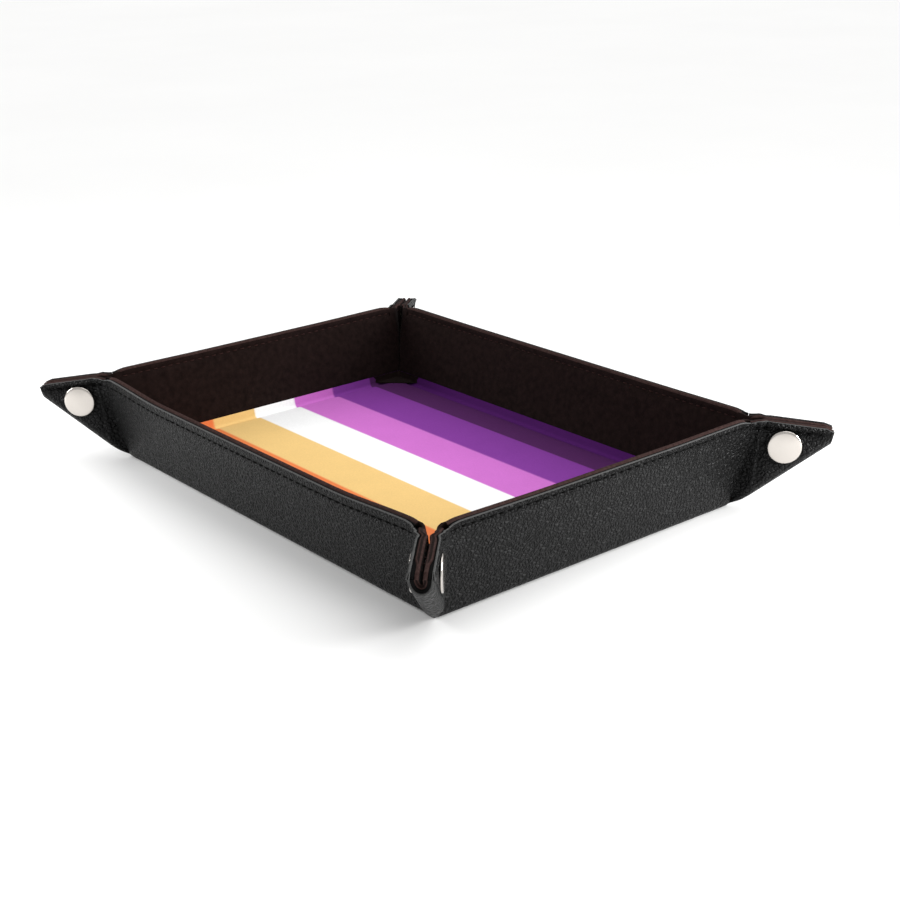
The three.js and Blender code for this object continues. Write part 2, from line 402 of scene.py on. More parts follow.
# %% Small finishes
def make_plain(name, low, high, scale, rough, strength):
    finish, shader = start_finish(name)
    tone = ramp(finish, noise(finish, scale, 5.0), [(0.3, low), (0.7, high)])
    wire(finish, tone, shader.inputs["Base Color"])
    wire(finish, bump(finish, noise(finish, scale * 3), strength, 0.0002), shader.inputs["Normal"])
    shader.inputs["Roughness"].default_value = rough
    shader.inputs["Specular IOR Level"].default_value = 0.12
    return finish


NICKEL_LOW = (0.52, 0.485, 0.45)
NICKEL_HIGH = (0.59, 0.555, 0.52)


def make_nickel():
    finish, shader = start_finish("polished_nickel")
    smears = ramp(finish, noise(finish, 160.0, 4.0), [(0.3, grey(0.1)), (0.75, grey(0.2))])
    tone = ramp(finish, noise(finish, 60.0), [(0.3, NICKEL_LOW), (0.7, NICKEL_HIGH)])
    wire(finish, smears, shader.inputs["Roughness"])
    wire(finish, tone, shader.inputs["Base Color"])
    wire(finish, bump(finish, noise(finish, 900.0), 0.05, 0.00005), shader.inputs["Normal"])
    shader.inputs["Metallic"].default_value = 1.0
    return finish


board = make_plain("grey_board", (0.20, 0.15, 0.10), (0.34, 0.26, 0.17), 900.0, 0.9, 0.5)
foam = make_plain("black_foam", grey(0.0008), grey(0.0030), 1800.0, 0.95, 0.8)
black_thread = make_plain("black_thread", grey(0.0005), grey(0.0018), 2600.0, 0.9, 0.4)
THREAD_BROWNS = (0.016, 0.006, 0.005), (0.036, 0.015, 0.013)
brown_thread = make_plain("brown_thread", *THREAD_BROWNS, 2600.0, 0.8, 0.7)
nickel = make_nickel()
print("made", [item.name for item in (board, foam, black_thread, brown_thread, nickel)])

# %% [markdown]
# ## Closed shells
# A layer of the sheet could be a plane with a Solidify modifier, but its edges would then
# be square. Instead each layer is a grid of points on its outer face and a matching grid on
# its inner face. Where the two faces come close to a free edge they draw together along a
# half circle, which rounds the edge. `fill` spaces the grid lines, and EDGE_MARKS adds
# close ones beside a free edge. A second finish goes on the faces marked as `trimmed`.


# %% Shell helpers
def fill(marks, largest):
    values = [marks[0]]
    for low, high in zip(marks, marks[1:]):
        count = max(1, math.ceil((high - low) / largest))
        values.extend(np.linspace(low, high, count + 1)[1:])
    return np.array(values)


def ease(value):
    value = np.clip(value, 0.0, 1.0)
    return value * value * (3 - 2 * value)


def rounded(distance, thickness):
    radius = thickness / 2
    inside = np.clip(radius - distance, 0.0, radius)
    return radius - np.sqrt(np.maximum(radius * radius - inside * inside, 0.0))


EDGE_MARKS = (0.0, 0.06, 0.18, 0.4)
WELD = 0.002
TOO_SHORT = 0.001
SHARP_ANGLE = math.radians(50)


def finish_mesh(name, shell, finishes):
    bmesh.ops.remove_doubles(shell, verts=shell.verts, dist=WELD * MM)
    bmesh.ops.dissolve_degenerate(shell, edges=shell.edges, dist=TOO_SHORT * MM)
    bmesh.ops.recalc_face_normals(shell, faces=shell.faces)
    mesh = bpy.data.meshes.new(name)
    shell.to_mesh(mesh)
    shell.free()
    mesh.polygons.foreach_set("use_smooth", [True] * len(mesh.polygons))
    mesh.set_sharp_from_angle(angle=SHARP_ANGLE)
    piece = bpy.data.objects.new(name, mesh)
    bpy.context.scene.collection.objects.link(piece)
    for finish in finishes:
        mesh.materials.append(finish)
    return piece


def shell_from_grids(name, outer, inner, finishes, trimmed=None):
    rows, columns = outer.shape[:2]
    shell = bmesh.new()
    front = [[shell.verts.new(outer[i, j] * MM) for j in range(columns)] for i in range(rows)]
    back = [[shell.verts.new(inner[i, j] * MM) for j in range(columns)] for i in range(rows)]
    for i in range(rows - 1):
        for j in range(columns - 1):
            for side in (front, back):
                face = shell.faces.new((side[i][j], side[i][j + 1], side[i + 1][j + 1], side[i + 1][j]))
                if trimmed is not None and trimmed[i:i + 2, j:j + 2].all():
                    face.material_index = 1
    border = [(i, 0) for i in range(rows)] + [(rows - 1, j) for j in range(1, columns)]
    border += [(i, columns - 1) for i in range(rows - 2, -1, -1)]
    border += [(0, j) for j in range(columns - 2, 0, -1)]
    for (i, j), (k, m) in zip(border, border[1:] + border[:1]):
        shell.faces.new((front[i][j], front[k][m], back[k][m], back[i][j]))
    return finish_mesh(name, shell, finishes)


print("shell helpers ready")

# %% [markdown]
# ## Wall skins
# The outer leather runs from the underside, round a soft bottom edge, and up the wall to
# the rim. A row of the grid is a distance along that path, its `girth`. The ends of the
# first rows turn round the corner as part of a ball, and higher up they straighten into
# the crease where the ear begins. Stitching pulls the skin in along a line under the rim.
# The pinched corners hold a wall up at its ends, and between them it bows out and slumps,
# the front wall most of all.


# %% Wall surface
def wall_section(girth, depth):
    angle = np.minimum(girth, ARC) / EDGE_RADIUS
    up = TANGENT + np.maximum(girth - ARC, 0.0)
    on_arc = girth <= ARC
    out = np.where(on_arc, -TANGENT + (EDGE_RADIUS - depth) * np.sin(angle), up * SIN - depth * COS)
    z = np.where(on_arc, EDGE_RADIUS - (EDGE_RADIUS - depth) * np.cos(angle), up * COS + depth * SIN)
    return out, z, up


CREASE_BLEND = 4.5


def wall_plan(half, column, out, up):
    core = half - TANGENT
    turn = np.clip(np.abs(column) - 1.0, 0.0, 1.0)
    radius = out + TANGENT
    straight = core * np.clip(np.abs(column), 0.0, 1.0)
    round_along = straight + radius * np.sin(turn * math.pi / 4)
    round_out = radius * np.cos(turn * math.pi / 4) - TANGENT
    share = ease((up - TANGENT) / CREASE_BLEND)
    along = round_along + (straight + TANGENT * turn - round_along) * share
    return np.sign(column) * along, np.where(turn > 0, round_out + (out - round_out) * share, out)


print("a wall's skin is", round(GIRTH, 2), "mm from underside to rim")


# %% Bow and slump
BOW_REACH = 45.0
HIGHEST_LEVEL = 1.2


def on_wall(wall, along, out, z):
    along, out, z = np.broadcast_arrays(along, out, z)
    level = np.clip((z - EDGE_RADIUS) / (rim_height - EDGE_RADIUS), 0.0, HIGHEST_LEVEL)
    share = level * ease((wall.half - np.abs(along)) / BOW_REACH)
    out = out + share * (wall.bow * COS - wall.slump * SIN)
    z = z - share * (wall.bow * SIN + wall.slump * COS)
    flat = (wall.distance + out)[..., None] * wall.outward + along[..., None] * wall.along
    return flat + z[..., None] * UP


def wall_skin_point(wall, girth, column, depth):
    out, z, up = wall_section(girth, depth)
    along, out = wall_plan(wall.half, column, out, up)
    return on_wall(wall, along, out, z)


print("the front wall bows out", WALLS[0].bow, "mm and slumps", WALLS[0].slump, "mm")

# %% [markdown]
# ### Small shapes in the leather
# A stitched edge isn't flat. The thread pulls a groove, which is a bell curve across the
# line, and the layers swell in a low bead between it and the rim. Beside a crease the rim
# drops a little, and the skin fills out where it turns on to the ear. Each of these is a
# small function, so that walls, ears and linings can share it.


# %% Groove, bead, drop and fillet
GROOVE_DEPTH = 0.55
GROOVE_WIDTH = 0.6
BEAD = 0.5
BEAD_POWER = 1.2
DROP = 0.9
DROP_REACH = 2.6
DROP_POWER = 6
FILLET = 0.7
FILLET_REACH = 4.0
FILLET_FOOT = 4.0
FILLET_RISE = 8.0


def groove(distance):
    return GROOVE_DEPTH * np.exp(-((distance / GROOVE_WIDTH) ** 2))


def bead(from_rim, inset):
    share = np.clip(from_rim / inset, 0.0, 1.0)
    return BEAD * np.sin(math.pi * share) ** BEAD_POWER


def rim_drop(from_crease, level):
    reach = np.exp(-((from_crease / DROP_REACH) ** 2))
    return DROP * reach * np.clip(level, 0.0, 1.0) ** DROP_POWER


def fillet(from_crease, z):
    near = np.clip(1 - from_crease / FILLET_REACH, 0.0, 1.0) ** 2
    return FILLET * ease((z - FILLET_FOOT) / FILLET_RISE) * near


print("groove", GROOVE_DEPTH, "mm deep, bead", BEAD, "mm high")


# %% Wall skins
HALF_TURN = math.radians(22.5)
STITCH_LINES = np.array([-1.4, -0.5, 0.0, 0.5, 1.2])
ARC_STEP, WALL_STEP, COLUMN_STEP = 0.6, 1.6, 0.05
CLOSE_COLUMNS = 5.0
CORNER_STEPS = 6
HIGH_UP = 20.0
# Width of the rim band that gets the cut edge finish, which also paints the rim highlight.
CUT_AND_HIGHLIGHT_WIDTH = 0.2


def bisector(wall, column):
    back = -np.sign(column)[..., None] * wall.along
    return math.cos(HALF_TURN) * wall.outward + math.sin(HALF_TURN) * back


def wall_skin_grid(wall, stitch):
    marks = [ARC, ARC + CREASE_BLEND, *(stitch + STITCH_LINES)]
    rows = [fill([0.0, ARC], ARC_STEP), fill(marks, WALL_STEP)[1:], GIRTH - np.array(EDGE_MARKS[::-1])]
    near = 1 - CLOSE_COLUMNS / (wall.half - TANGENT)
    turns = np.arange(1, CORNER_STEPS + 1) / CORNER_STEPS
    columns = [-1 - turns[::-1], fill([-1.0, -near, near, 1.0], COLUMN_STEP), 1 + turns]
    return np.meshgrid(np.concatenate(rows), np.concatenate(columns), indexing="ij")


def make_wall_skin(wall):
    stitch = GIRTH - wall.inset
    girth, column = wall_skin_grid(wall, stitch)
    pinch = rounded(GIRTH - girth, LEATHER)
    from_end = wall.half - np.abs(wall_plan(wall.half, column, 0 * girth, HIGH_UP + 0 * girth)[0])
    dip = groove(girth - stitch) * ease(from_end / 1.5)
    raised = bead(GIRTH - girth, wall.inset) * ease(from_end / 3.0)
    lowered = girth - rim_drop(from_end, girth / GIRTH)
    z = wall_section(lowered, 0.0)[1]
    push = fillet(from_end, z)[..., None] * bisector(wall, column)
    outer = wall_skin_point(wall, lowered, column, pinch + dip - raised) + push
    inner = wall_skin_point(wall, lowered, column, LEATHER - pinch + 0 * column) + push
    trimmed = girth > GIRTH - CUT_AND_HIGHLIGHT_WIDTH
    skin = shell_from_grids(wall.name + "_skin", outer, inner, [leather, cut_edge_and_highlight], trimmed)
    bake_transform(skin)
    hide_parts(wall.name + "_leather")
    return skin


skins = [make_wall_skin(wall) for wall in WALLS]
print("wall skins", [len(skin.data.polygons) for skin in skins])

# %% [markdown]
# ## Underside
# The leather under the base is a flat sheet that meets the four wall skins edge to edge. It
# lies on the board, so it draws up a little along the edges where the board stops.


# %% Underside skin
DRAW_UP = 0.3
DRAW_START = 1.5
DRAW_END = 4.5
UNDERSIDE_STEP = 8.0


def underside_lines(half):
    marks = [-half, -half + DRAW_START, -half + DRAW_END, half - DRAW_END, half - DRAW_START, half]
    return fill(marks, UNDERSIDE_STEP)


def make_underside():
    length, width = half_length - TANGENT, half_width - TANGENT
    x, y = np.meshgrid(underside_lines(length), underside_lines(width), indexing="ij")
    margin = np.minimum(length - np.abs(x), width - np.abs(y))
    lift = DRAW_UP * ease(margin / DRAW_START) * ease((DRAW_END - margin) / (DRAW_END - DRAW_START))
    low = np.stack([x, y, lift], axis=-1)
    high = np.stack([x, y, lift * 0.5 + LEATHER], axis=-1)
    under = shell_from_grids("base_skin", low, high, [leather])
    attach(under, "base")
    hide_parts("base_leather")
    return under


underside = make_underside()
print("underside", tuple(round(value, 4) for value in underside.dimensions))

# %% [markdown]
# ## Ear skins
# An ear leaf starts on its wall's crease, curves out over six millimetres, and then lies
# flat, four millimetres from the middle plane. Pinching the corner leaves a low ridge and a
# valley beside the crease, as a tuck. The leaf's lower edge follows the fold, and its tip
# is clipped square to it. Both leaves are the same, mirrored in the middle plane.


# %% Ear surface
def crease(z):
    up = z / COS
    girth = ARC + np.maximum(up - TANGENT, 0.0)
    out, _, up = wall_section(girth, 0.0)
    along, out = wall_plan(half_length, 2.0 + 0 * out, out, up)
    along = along - half_length
    return (out + along) / math.sqrt(2), (out - along) / math.sqrt(2)


EAR_BLEND = 6.0
TUCK_RIDGE, TUCK_RIDGE_AT, TUCK_RIDGE_WIDTH = 0.50, 4.0, 0.9
TUCK_VALLEY, TUCK_VALLEY_AT, TUCK_VALLEY_WIDTH = 0.45, 6.2, 1.1
TUCK_FOOT = 5.0
TUCK_RISE = 14.0


def tuck(reach, z):
    ridge_line = TUCK_RIDGE * np.exp(-(((reach - TUCK_RIDGE_AT) / TUCK_RIDGE_WIDTH) ** 2))
    valley_line = TUCK_VALLEY * np.exp(-(((reach - TUCK_VALLEY_AT) / TUCK_VALLEY_WIDTH) ** 2))
    return (ridge_line - valley_line) * ease((z - TUCK_FOOT) / TUCK_RISE)


def leaf_face(s, z):
    start, offset = crease(z)
    share = ease((s - start) / EAR_BLEND)
    return offset + (EAR_HALF - offset) * share + tuck(s - start, z)


print("a leaf lies", EAR_HALF, "mm from the middle plane")

# %% [markdown]
# ### Outline of a leaf
# A leaf is a slanted four-sided panel between its fold below and its rim above. Every point
# of its grid is a share of the way along and a share of the way up, and close lines near
# the crease, the stitches and the edges keep those shapes crisp.


# %% Ear outline
def from_fold(along, across):
    s = along * math.cos(RISE) - across * math.sin(RISE)
    z = along * math.sin(RISE) + across * math.cos(RISE)
    return np.stack(np.broadcast_arrays(s, z), axis=-1)


ROOT_ALONG, ROOT_ACROSS = 1.0, 2.21
ROOT_LENGTH = 8.0


def lower_edge(share):
    along = ROOT_ALONG + (EAR_REACH - ROOT_ALONG) * share
    across = ROOT_ACROSS + (EAR_HALF - ROOT_ACROSS) * ease((along - ROOT_ALONG) / ROOT_LENGTH)
    return from_fold(along, across)


TIP_SLANT = 1.6
TIP_RAISE = 0.6


def upper_edge(share):
    top = np.array([crease(np.array(rim_height))[0], rim_height])
    tip = from_fold(EAR_REACH - TIP_SLANT, TIP_CLIP + TIP_RAISE)
    return top + (tip - top) * share[..., None]


NEAR_CREASE, NEAR_TIP = 0.28, 0.94
EAR_COLUMNS = np.concatenate(
    [
        fill([0.0, NEAR_CREASE], 0.014),
        fill([NEAR_CREASE, NEAR_TIP], 0.05)[1:],
        [0.965, 0.98, 0.9915, 0.996, 0.9987, 1.0],
    ]
)
TOP_ROWS = [0.86, 0.895, 0.91, 0.925, 0.94, 0.96, 0.975, 0.987, 0.9945, 0.998, 1.0]
EAR_ROWS = np.concatenate([fill([0.0, 0.8], 0.12), TOP_ROWS])
EAR_INSET = 2.7
CREASE_PULL = 0.12
TIP_SHARE = 0.95


def leaf_grid():
    row, column = np.meshgrid(EAR_ROWS, EAR_COLUMNS, indexing="ij")
    low, high = lower_edge(column), upper_edge(column)
    place = low + (high - low) * row[..., None]
    s, z = place[..., 0], place[..., 1]
    start = np.zeros_like(row)
    first = lower_edge(start) * (1 - row[..., None]) + upper_edge(start) * row[..., None]
    s = s + (crease(z)[0] - first[..., 0]) * np.maximum(0.0, 1 - column / CREASE_PULL)
    z = z - rim_drop(s - crease(z)[0], row)
    to_top = (1 - row) * (high - low)[..., 1]
    to_tip = (1 - column) * (EAR_REACH - ROOT_ALONG) * np.cos(RISE) * TIP_SHARE
    return s, z, to_top, to_tip


print("ear leaf columns", len(EAR_COLUMNS), "rows", len(EAR_ROWS))


# %% Ear leather
LEAF_BISECTOR = math.radians(67.5)
SWELL = 0.3


def make_ear_skin(corner, side, leaf):
    s, z, to_top, to_tip = leaf_grid()
    free = np.minimum(to_top, to_tip)
    pinch = rounded(free, LEATHER)
    flat = ease((s - crease(z)[0]) / 3.0)
    dip = groove(to_top - EAR_INSET) * ease((to_tip - EAR_INSET) / 0.8) * flat
    swell = SWELL * ease((free - EAR_INSET) / 5.0) * flat * ease((s - 4) / 8)
    swell = swell + bead(to_top, EAR_INSET) * flat
    face = leaf_face(s, z)
    push = fillet(s - crease(z)[0], z)
    side_push, out_push = push * math.sin(LEAF_BISECTOR), push * math.cos(LEAF_BISECTOR)
    outer = corner.place(side, s + out_push, face + side_push - pinch - dip + swell, z)
    inner_face = np.maximum(face + side_push - LEATHER + pinch, 0.05)
    inner = corner.place(side, s + out_push, inner_face, z)
    skin = shell_from_grids(leaf + "_skin", outer, inner, [leather, cut_edge_and_highlight], free < CUT_AND_HIGHLIGHT_WIDTH)
    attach(skin, leaf)
    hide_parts(leaf + "_leather")
    return skin


ear_skins = []
for corner in CORNERS:
    for side, leaf, _, _ in corner.leaves:
        ear_skins.append(make_ear_skin(corner, side, leaf))
print("ear skins", len(ear_skins), "of", len(ear_skins[0].data.polygons), "faces")

# %% [markdown]
# ## Ear core and ear lining
# Behind the leather lie a thin black foam and the suede. At the rim they show as a dark
# line and a brown edge, so the foam stops a little below the leather. Each layer is listed
# by its outer and inner depth, how far it stops short of the edge, how much it thickens at
# the rim, its finishes, and the node and slot that it stands for.


# %% Ear layers
# Width of the rim band that gets the painted suede highlight.
SUEDE_RIM = 1.0


def make_ear_layer(corner, side, leaf, title, layer):
    outer_depth, inner_depth, setback, rim_extra, finish, rim_finish, node, slot = layer
    s, z, to_top, to_tip = leaf_grid()
    free = np.minimum(to_top, to_tip)
    keep = np.clip(free, setback, None) - free
    slope = np.where(to_top < to_tip, 1.0, 0.0)
    s = s - keep * (1 - slope)
    z = z - keep * slope
    thicken = rim_extra * (1 - ease((to_top - 1.0) / 1.5)) * ease((to_tip - 5.0) / 5.0)
    pinch = rounded(free, inner_depth - outer_depth)
    face = leaf_face(s, z)
    outer = corner.place(side, s, np.maximum(face - outer_depth - pinch + thicken, 0.3), z)
    inner = corner.place(side, s, np.maximum(face - inner_depth + pinch, 0.2), z)
    piece = shell_from_grids(leaf + title, outer, inner, [finish, rim_finish], free < SUEDE_RIM)
    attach(piece, leaf)
    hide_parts(leaf + node)
    return piece


EAR_LAYERS = {
    "_core": (0.84, 1.95, 0.5, 0.0, foam, foam, "_pad", "ear_foam"),
    "_suede": (2.0, 3.4, 0.0, 0.8, suede, suede_edge_highlight, "_liner", "wall_suede"),
}
for corner in CORNERS:
    for side, leaf, _, _ in corner.leaves:
        for title, layer in EAR_LAYERS.items():
            make_ear_layer(corner, side, leaf, title, layer)
print("ear layers", len(EAR_LAYERS) * 2 * len(CORNERS))

# %% [markdown]
# ## The fold under each ear
# Between its two leaves the sheet turns round a fold, which narrows to a ridge at the base
# corner. Each leaf carries half of it, up to the middle plane, and that half rides rigidly
# with the leaf. The real fold opens out flat as the tray is opened, which a rigid half
# can't do. At the clipped tip the layers show as nested U shapes. Each layer is
# listed by its outer and inner depth, how far along the fold it starts, its finish and
# slot, and the finish of its tip.


# %% Fold halves
RIDGE_ALONG, RIDGE_ACROSS = -1.32, 1.48
RIDGE_LENGTH = 8.0
RIDGE_POWER = 1.5
TIP_RECEDE = 3.8
TIP_TRIM = 0.42
FOLD_TURNS = np.radians([0, 6, 14, 24, 35, 46, 57, 68, 79, 88, 90])


def ridge(share):
    along = RIDGE_ALONG + (EAR_REACH - TIP_RECEDE - RIDGE_ALONG) * share
    across = RIDGE_ACROSS * (1 - ease((along - RIDGE_ALONG) / RIDGE_LENGTH)) ** RIDGE_POWER
    return from_fold(along, across)


def make_fold(corner, side, leaf, title, layer):
    outer_depth, inner_depth, start, finish, slot, tip_finish = layer
    shares = fill([start, min(start + 0.25, 0.9), 0.985, 0.993, 1.0], 0.03)
    share, turn = np.meshgrid(shares, FOLD_TURNS, indexing="ij")
    edge, keel = lower_edge(share), ridge(share)
    lift = from_fold(0.0, 1.0)
    width = leaf_face(edge[..., 0], edge[..., 1])

    def face(depth):
        bottom = keel + lift * np.minimum(depth, width)[..., None]
        place = bottom + (edge - bottom) * (1 - np.sin(turn))[..., None]
        q = np.maximum(width - depth, 0.0) * np.cos(turn)
        return corner.place(side, place[..., 0], q, place[..., 1])

    free = (1 - share) * EAR_REACH
    pinch = rounded(free, min(0.8, inner_depth - outer_depth))
    trimmed = free < (SUEDE_RIM if slot == "wall_suede" else TIP_TRIM)
    outer, inner = face(outer_depth + pinch), face(inner_depth - pinch)
    piece = shell_from_grids(leaf + title, outer, inner, [finish, tip_finish], trimmed)
    corner.place(side, 0.0, 2.2, 0.0) * MM
    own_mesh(piece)
    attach(piece, leaf)
    return piece


FOLD_LAYERS = {
    "_fold_skin": (0.0, 0.8, 0.0, leather, "outer_leather", cut_edge_and_highlight),
    "_fold_core": (0.8, 2.0, 0.3, foam, "ear_foam", foam),
    "_fold_suede": (2.0, 3.4, 0.3, suede, "wall_suede", suede_edge_highlight),
}
for corner in CORNERS:
    for side, leaf, _, _ in corner.leaves:
        for title, layer in FOLD_LAYERS.items():
            make_fold(corner, side, leaf, title, layer)
print("fold halves", len(FOLD_LAYERS) * 2 * len(CORNERS))

# %% [markdown]
# ## Wall linings
# Brown suede covers the inside of each wall. Above the board's top edge it thickens until
# it almost meets the leather, with a thin dark layer between. At each end it is trimmed to
# the corner's middle plane, where the next wall's lining meets it. The stiffener board is
# made the same way, so that it follows the wall's bow.


# %% Lining helpers
PLANE_GAP = 0.12
PRINT_TOP = 6.4
CREASE_STRIP = 1.1


def wall_end(wall, up, depth, inset):
    return np.minimum(wall.half - inset, wall.half + up * SIN - depth * COS - PLANE_GAP)


def lining_point(wall, up, share, depth, inset):
    along = share * wall_end(wall, up, depth, inset)
    up = up - rim_drop(wall.half - np.abs(along), up / wall_height)
    return on_wall(wall, along, up * SIN - depth * COS, up * COS + depth * SIN)


END_SHARES = [-1.0, -0.985, -0.97, -0.95]
LINING_SHARES = np.concatenate([END_SHARES, fill([-0.92, 0.92], 0.06), [0.95, 0.97, 0.985, 1.0]])


def make_wall_layer(wall, title, ups, outer_depth, inner_depth, parts, inset=CREASE_STRIP):
    finish, rim_finish, node, slot = parts
    up, share = np.meshgrid(ups, LINING_SHARES, indexing="ij")
    outer = lining_point(wall, up, share, outer_depth(up), inset)
    inner = lining_point(wall, up, share, inner_depth(up), inset)
    trimmed = up > wall_height - SUEDE_RIM
    piece = shell_from_grids(wall.name + title, outer, inner, [finish, rim_finish], trimmed)
    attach(piece, wall.name)
    if node:
        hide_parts(wall.name + node)
    return piece


print("a lining has", len(LINING_SHARES), "grid lines along its wall")


# %% Wall linings
LINING_INSET = 3.2
LINING = 1.0
RIM_EXTRA = 1.2
RIM_START = 1.4
FOOT_SWELL = 0.12
FOOT_REACH = 3.0
BOARD_INSET = 4.0
BOARD_OUTER, BOARD_INNER = 0.86, 2.34
CORE_OUTER, CORE_INNER, CORE_STEP = 0.82, 1.07, 0.35
CORE_STEP_AT = 34.8


def lining_thickness(up):
    return LINING + RIM_EXTRA * ease((up - (wall_height - RIM_START)) / 0.5)


def lining_pinch(up):
    return rounded(np.minimum(wall_height - up, up - PRINT_TOP), lining_thickness(up))


def lining_outer(up):
    return LINING_FACE - lining_thickness(up) + lining_pinch(up)


def lining_inner(up):
    dip = groove(up - (wall_height - LINING_INSET))
    foot = FOOT_SWELL * ease((PRINT_TOP + FOOT_REACH - up) / FOOT_REACH)
    return LINING_FACE + foot - dip - lining_pinch(up)


def core_inner(up):
    return CORE_INNER + CORE_STEP * (up > CORE_STEP_AT)


def level_at(depth):
    return lambda up: depth + 0 * up


lining_marks = [PRINT_TOP + 1.0, *(wall_height - np.array([5.0, 3.7, LINING_INSET, 2.7]))]
lining_rows = np.concatenate(
    [
        PRINT_TOP + np.array([0.0, 0.05, 0.18, 0.5]),
        fill(lining_marks, 2.5),
        wall_height - np.array([2.0, RIM_START, 1.15, 0.95, 0.7, 0.45, 0.2, 0.06, 0.0]),
    ]
)
board_rows = fill([4.4, wall_height - 5.6], 4.0)
core_rows = wall_height - np.array([5.0, 2.5, 0.9, 0.4])
lining_parts = (suede, suede_edge_highlight, "_liner", "wall_suede")
core_parts = (foam, foam, None, "ear_foam")
board_parts = (board, board, "_board", "stiff_board")
for wall in WALLS:
    make_wall_layer(wall, "_suede", lining_rows, lining_outer, lining_inner, lining_parts)
    make_wall_layer(wall, "_core", core_rows, level_at(CORE_OUTER), core_inner, core_parts)
    depths = level_at(BOARD_OUTER), level_at(BOARD_INNER)
    make_wall_layer(wall, "_stiffener", board_rows, *depths, board_parts, BOARD_INSET)
print("wall linings", len(WALLS))

# %% [markdown]
# ## Lining round the creases
# On the inside, the lining turns forty-five degrees from each wall on to its ear leaf. The
# strip blends from wall to leaf.


# %% Crease strips
STRIP_COLUMNS = 9
STRIP_TAIL = 8
STRIP_OUTER, STRIP_INNER = 2.42, 3.42
PLANE_CLEAR = 0.15


def make_crease_strip(corner, side, leaf, wall):
    ups = fill([PRINT_TOP, HIGH_UP, wall_height - 0.4, wall_height - 0.15, wall_height], 1.5)
    up, turn = np.meshgrid(ups, np.linspace(0.0, 1.0, STRIP_COLUMNS), indexing="ij")
    pinch = rounded(wall_height - up, 1.0)
    end = -side * wall.half
    up = up - rim_drop(0.0, up / wall_height)
    axis = on_wall(wall, end, up * SIN, up * COS)
    leaf_inward = -side * corner.across
    bend = math.pi / 4
    share = np.clip(turn * 2 - 0.5, 0, 1)
    weight_wall = np.sin((1 - share) * bend) / math.sin(bend)
    weight_leaf = np.sin(share * bend) / math.sin(bend)
    direction = weight_wall[..., None] * wall.inward + weight_leaf[..., None] * leaf_inward
    back_along = np.clip(0.25 - turn, 0, 1) * STRIP_TAIL * side
    out_along = np.clip(turn - 0.75, 0, 1) * STRIP_TAIL
    middle = axis + back_along[..., None] * wall.along + out_along[..., None] * corner.diagonal

    def layer(depth):
        point = middle + direction * depth[..., None]
        q = (point - corner.origin) @ corner.across * side
        push = np.maximum(PLANE_CLEAR - q, 0.0)
        return point + push[..., None] * side * corner.across

    outer, inner = layer(STRIP_OUTER + pinch), layer(STRIP_INNER - pinch)
    trimmed = up > wall_height - SUEDE_RIM
    piece = shell_from_grids(leaf + "_crease_lining", outer, inner, [suede, suede_edge_highlight], trimmed)
    middle_point = on_wall(wall, end, HIGH_UP * SIN, HIGH_UP * COS)
    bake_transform(piece)
    return piece


by_name = {wall.name: wall for wall in WALLS}
for corner in CORNERS:
    for side, leaf, wall_name, _ in corner.leaves:
        make_crease_strip(corner, side, leaf, by_name[wall_name])
print("crease strips", 2 * len(CORNERS))

# %% [markdown]
# ## Printed floor
# The floor is the printed cloth over the base board, and it ends in a soft rounded edge.
# Past it the same cloth dips into the groove over the fold line and runs a little way up
# the walls. The floor is one shell, and each groove is a strip along its wall.


# %% Printed floor
FOLD_MARGIN = 5.5
FLOOR_TOP = 4.2
FLOOR_CORNER = 2.0
FLOOR_STEP = 6.0
FLOOR_EDGES = np.array([0.0, 0.06, 0.2, 0.45, 0.8, 1.4])
CLOTH = 1.0
SOFTEN = 0.25
SOFTEN_REACH = 2.0


def floor_lines(half):
    middle = fill([-half + FLOOR_CORNER, half - FLOOR_CORNER], FLOOR_STEP)
    return np.concatenate([-half + FLOOR_EDGES, middle, half - FLOOR_EDGES[::-1]])


def make_floor_panel():
    length, width = half_length - FOLD_MARGIN, half_width - FOLD_MARGIN
    x, y = np.meshgrid(floor_lines(length), floor_lines(width), indexing="ij")
    margin = np.minimum(length - np.abs(x), width - np.abs(y))
    fx = np.maximum(np.abs(x) - (length - FLOOR_CORNER), 0) / FLOOR_CORNER
    fy = np.maximum(np.abs(y) - (width - FLOOR_CORNER), 0) / FLOOR_CORNER
    x = x - np.sign(x) * FLOOR_CORNER * fx * (1 - np.sqrt(1 - fy * fy / 2))
    y = y - np.sign(y) * FLOOR_CORNER * fy * (1 - np.sqrt(1 - fx * fx / 2))
    soften = SOFTEN * (1 - ease(margin / SOFTEN_REACH))
    top = np.stack([x, y, FLOOR_TOP - rounded(margin, CLOTH) - soften], -1)
    bottom = np.stack([x, y, FLOOR_TOP - CLOTH + rounded(margin, CLOTH) - soften], -1)
    panel = shell_from_grids("base_printed_floor", top, bottom, [printed_cloth])
    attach(panel, "base")
    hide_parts("base_printed_liner")
    return panel

floor_panel = make_floor_panel()
print("printed floor", tuple(round(value, 4) for value in floor_panel.dimensions))

# %% [markdown]
# ### Grooves
# Beyond the floor the cloth is pressed down on to the fold line and turns up the wall. Seen
# end on that is one path: a flat run, an arc, and a slope. It is drawn once as a list of
# points, and each wall sweeps it along its length.


# %% Groove strips
GROOVE_Z = 3.1
GROOVE_BEND = 1.8
GROOVE_STEPS = 9
UNDER_FLOOR = 1.2
STRIP_THICKNESS = 0.5


